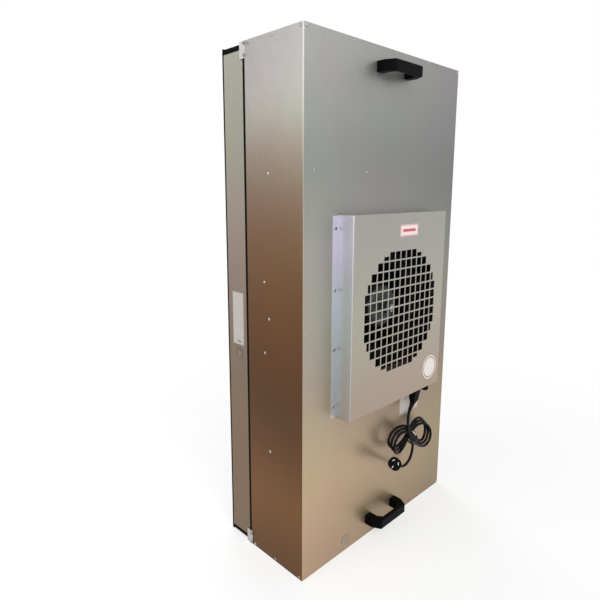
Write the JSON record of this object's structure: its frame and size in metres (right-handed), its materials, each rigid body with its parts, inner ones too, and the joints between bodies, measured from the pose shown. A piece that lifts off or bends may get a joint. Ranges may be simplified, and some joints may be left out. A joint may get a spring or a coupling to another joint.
{
  "type": "fan filter unit",
  "caption": "Clean-air ceiling module: folded sheet-metal casing with a punched-grille fan hood, centrifugal fan and framed pleated filter with a coiled supply cord.",
  "frame": {"origin": "centre of the standing end, on the floor", "axes": "+Z along the long side, -Y out of the fan hood, +Y out of the filter, X across the width"},
  "size_m": [0.5828, 0.3292, 1.175],
  "materials": {
    "galvanised": "spangled zinc-aluminium coating, semi-gloss",
    "fasteners": "zinc plated",
    "black_plastic": "fine grained",
    "black_foam": "open cell foam",
    "frame_aluminium": "satin anodised",
    "media_paper": "pleated glass paper",
    "guard_white": "powder coated",
    "impeller_black": "glass filled moulding",
    "rotor_grey": "satin paint",
    "shaft_steel": "ground",
    "winding": "varnished copper",
    "rubber": "matt",
    "capacitor_case": "moulded",
    "cord_black": "smooth jacket",
    "pin_metal": "nickel plated"
  },
  "bodies": {
    "casing": {"casing_wrap": "galvanised", "end_plate_lower": "galvanised", "end_plate_upper": "galvanised", "hood": "galvanised", "corner_brackets": "galvanised", "motor_plate": "galvanised", "motor_rail_lower": "galvanised", "motor_rail_upper": "galvanised", "diffuser_plate": "galvanised", "face_rivets": "fasteners", "side_rivets": "fasteners", "hood_screws": "fasteners", "handle_screws": "fasteners", "bracket_screws": "fasteners", "ring_screws": "fasteners", "mount_bolts": "fasteners", "motor_bolts": "fasteners", "inlet_screws": "fasteners", "speed_nut": "fasteners", "capacitor_clamp": "fasteners", "handle_upper": "black_plastic", "handle_lower": "black_plastic", "power_inlet": "black_plastic", "speed_switch": "black_plastic", "cord_connector": "black_plastic", "terminal_block": "black_plastic", "inlet_ring": "black_plastic", "plug_body": "black_plastic", "casing_gasket": "black_foam", "outlet_seal": "black_foam", "filter_end_pad_lower": "black_foam", "filter_end_pad_upper": "black_foam", "hood_lining": "black_foam", "side_linings": "black_foam", "filter_rail_left": "frame_aluminium", "filter_rail_right": "frame_aluminium", "filter_rail_top": "frame_aluminium", "filter_rail_bottom": "frame_aluminium", "filter_media": "media_paper", "outlet_guard": "guard_white", "motor_stator": "rotor_grey", "motor_bearings": "shaft_steel", "stator_windings": "winding", "rubber_mounts": "rubber", "grommet": "rubber", "capacitor": "capacitor_case", "motor_lead": "cord_black", "cord_feed": "cord_black", "cord_hank": "cord_black", "cord_tail": "cord_black", "hank_tie": "cord_black", "plug_pins": "pin_metal"},
    "fan_rotor": {"impeller": "impeller_black", "rotor_shell": "rotor_grey", "motor_shaft": "shaft_steel", "rotor_nut": "fasteners", "impeller_rivets": "fasteners"},
    "speed_control": {"speed_knob": "black_plastic"}
  },
  "joints": [
    {"name": "fan_spin", "type": "hinge", "parent": "casing", "child": "fan_rotor", "pos_m": [0, -0.05, 0.5875], "axis": [0, 1, 0], "continuous": true},
    {"name": "speed_turn", "type": "hinge", "parent": "casing", "child": "speed_control", "pos_m": [0.148, -0.13152, 0.3595], "axis": [0, 0, -1], "range_deg": [0, 270]}
  ]
}
